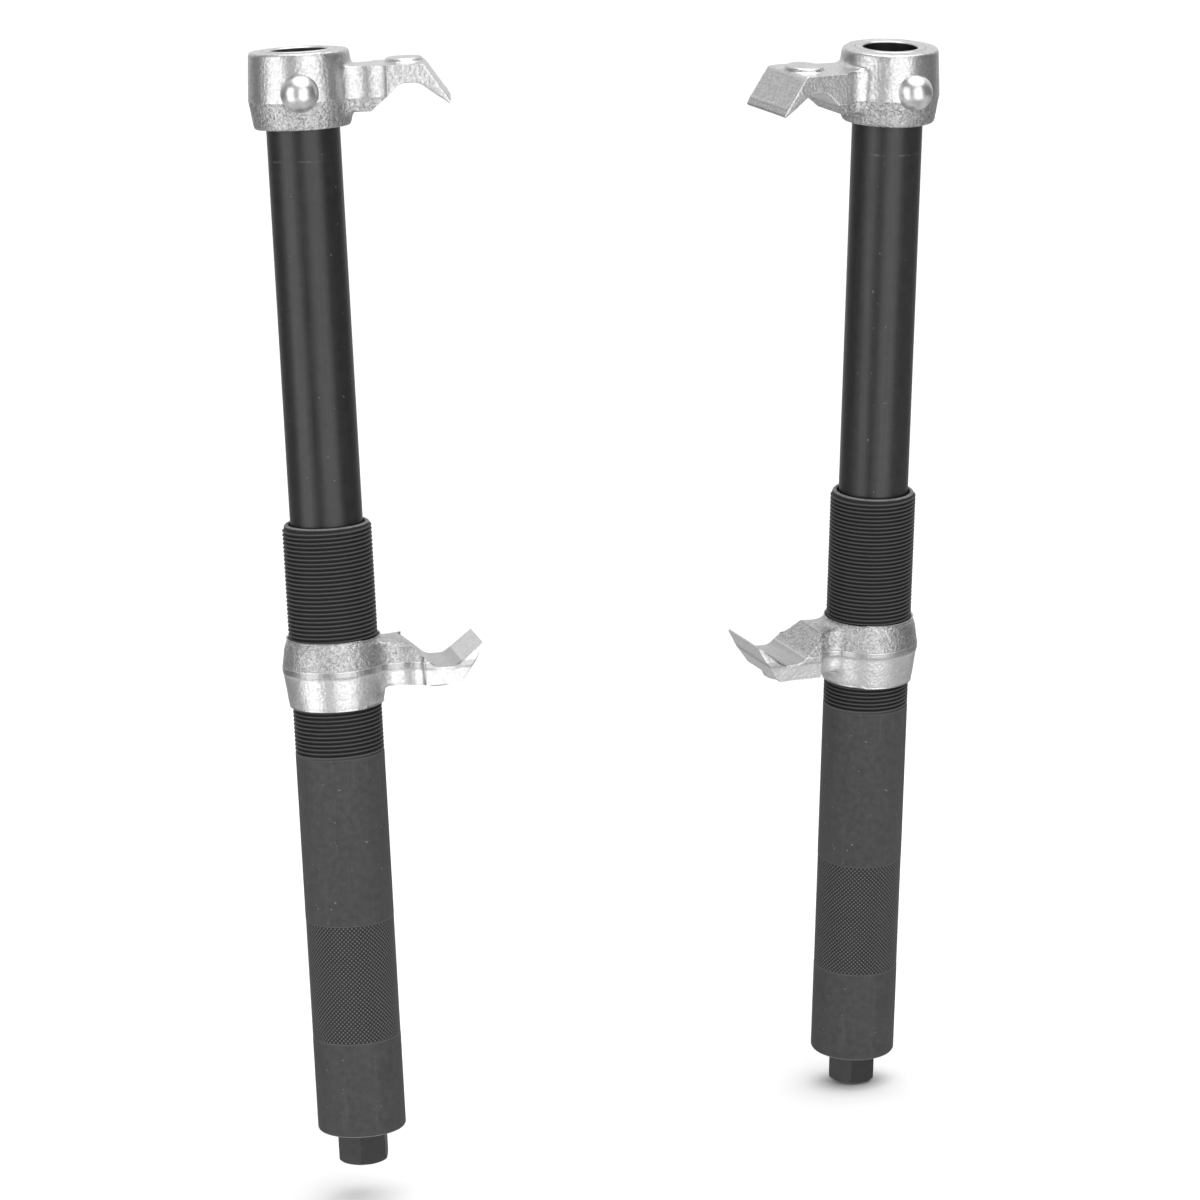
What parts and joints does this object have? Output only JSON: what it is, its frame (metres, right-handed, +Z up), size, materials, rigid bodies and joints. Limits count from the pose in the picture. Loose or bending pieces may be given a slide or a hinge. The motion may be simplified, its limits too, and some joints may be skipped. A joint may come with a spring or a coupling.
{
  "type": "coil spring compressor",
  "caption": "Pair of telescopic screw compressors for a suspension coil spring, each with a threaded barrel, an inner tube and two forged hooks.",
  "frame": {"origin": "on the left tool's axis, in the plane of its barrel's lower end face", "axes": "+Z up along the left tool's axis from its drive hexagon to its upper hook, +X towards the right tool, +Y away from the side where the knurled grips are seen in use"},
  "size_m": [0.2621, 0.0848, 0.4187],
  "materials": {
    "hook_zinc": "forged steel, bright zinc plated, grainy with soft edges",
    "pin_zinc": "turned steel, zinc plated, smooth domed heads",
    "barrel_black": "black phosphated steel, matt, darker in the thread and the knurl",
    "tube_black": "black phosphated steel tube, oiled, satin",
    "spindle_steel": "blackened steel with worn edges on the hexagon",
    "hardened_steel": "hardened and ground steel",
    "screw_black": "black oxide steel",
    "bearing_steel": "ground and polished bearing steel",
    "cage_steel": "pressed steel, lightly oiled",
    "snap_ring_steel": "phosphated spring steel",
    "wear_ring_bronze": "turned bronze, oiled",
    "nut_bronze": "turned bronze, oiled"
  },
  "bodies": {
    "left_lower_hook": {"left_lower_hook": "hook_zinc"},
    "left_bearing": {"left_bearing_cage": "cage_steel", "left_bearing_balls": "bearing_steel"},
    "left_barrel": {"left_barrel": "barrel_black", "left_mouth_ring": "wear_ring_bronze", "left_upper_race": "bearing_steel", "left_snap_ring": "snap_ring_steel"},
    "left_spindle": {"left_spindle": "spindle_steel", "left_lower_race": "bearing_steel", "left_stop_washer": "hardened_steel", "left_stop_screw": "screw_black"},
    "left_guide_ring": {"left_guide_ring": "wear_ring_bronze"},
    "left_slider": {"left_inner_tube": "tube_black", "left_drive_nut": "nut_bronze", "left_nut_pins": "hardened_steel", "left_upper_hook": "hook_zinc", "left_cross_pin": "pin_zinc"},
    "right_lower_hook": {"right_lower_hook": "hook_zinc"},
    "right_bearing": {"right_bearing_cage": "cage_steel", "right_bearing_balls": "bearing_steel"},
    "right_barrel": {"right_barrel": "barrel_black", "right_mouth_ring": "wear_ring_bronze", "right_upper_race": "bearing_steel", "right_snap_ring": "snap_ring_steel"},
    "right_spindle": {"right_spindle": "spindle_steel", "right_lower_race": "bearing_steel", "right_stop_washer": "hardened_steel", "right_stop_screw": "screw_black"},
    "right_guide_ring": {"right_guide_ring": "wear_ring_bronze"},
    "right_slider": {"right_inner_tube": "tube_black", "right_drive_nut": "nut_bronze", "right_nut_pins": "hardened_steel", "right_upper_hook": "hook_zinc", "right_cross_pin": "pin_zinc"}
  },
  "joints": [
    {"name": "left_barrel_feed", "type": "slide", "parent": "left_lower_hook", "child": "left_bearing", "axis": [0, 0, 1], "range_m": [-0.0405, 0.015]},
    {"name": "left_barrel_turn", "type": "hinge", "parent": "left_bearing", "child": "left_barrel", "pos_m": [0, 0, 0], "axis": [0, 0, 1], "range_deg": [-9810, 3690]},
    {"name": "left_spindle_turn", "type": "hinge", "parent": "left_bearing", "child": "left_spindle", "pos_m": [0, 0, 0], "axis": [0, 0, 1], "range_deg": [-1710, 16290]},
    {"name": "left_extension", "type": "slide", "parent": "left_bearing", "child": "left_guide_ring", "axis": [0, 0, 1], "range_m": [-0.135, 0.0135]},
    {"name": "left_hook_swivel", "type": "hinge", "parent": "left_guide_ring", "child": "left_slider", "pos_m": [0, 0, 0], "axis": [0, 0, 1], "continuous": true},
    {"name": "right_barrel_feed", "type": "slide", "parent": "right_lower_hook", "child": "right_bearing", "axis": [0.0157, -0.1184, 0.9928], "range_m": [-0.048, 0.0075]},
    {"name": "right_barrel_turn", "type": "hinge", "parent": "right_bearing", "child": "right_barrel", "pos_m": [0.2184, 0.0193, -0.013], "axis": [0.0157, -0.1184, 0.9928], "range_deg": [-11610, 1890]},
    {"name": "right_spindle_turn", "type": "hinge", "parent": "right_bearing", "child": "right_spindle", "pos_m": [0.2184, 0.0193, -0.013], "axis": [0.0157, -0.1184, 0.9928], "range_deg": [-1710, 16290]},
    {"name": "right_extension", "type": "slide", "parent": "right_bearing", "child": "right_guide_ring", "axis": [0.0157, -0.1184, 0.9928], "range_m": [-0.135, 0.0135]},
    {"name": "right_hook_swivel", "type": "hinge", "parent": "right_guide_ring", "child": "right_slider", "pos_m": [0.2184, 0.0193, -0.013], "axis": [0.0157, -0.1184, 0.9928], "continuous": true},
    {"name": "tool_spacing", "type": "slide", "parent": "left_lower_hook", "child": "right_lower_hook", "axis": [1, 0, 0], "range_m": [-0.045, 0.04]}
  ],
  "couplings": [
    {"joint": "left_barrel_turn", "follows": "left_barrel_feed", "rad_per_m": 4188.8},
    {"joint": "left_spindle_turn", "follows": "left_extension", "rad_per_m": -2094.4},
    {"joint": "right_barrel_turn", "follows": "right_barrel_feed", "rad_per_m": 4188.8},
    {"joint": "right_spindle_turn", "follows": "right_extension", "rad_per_m": -2094.4}
  ]
}
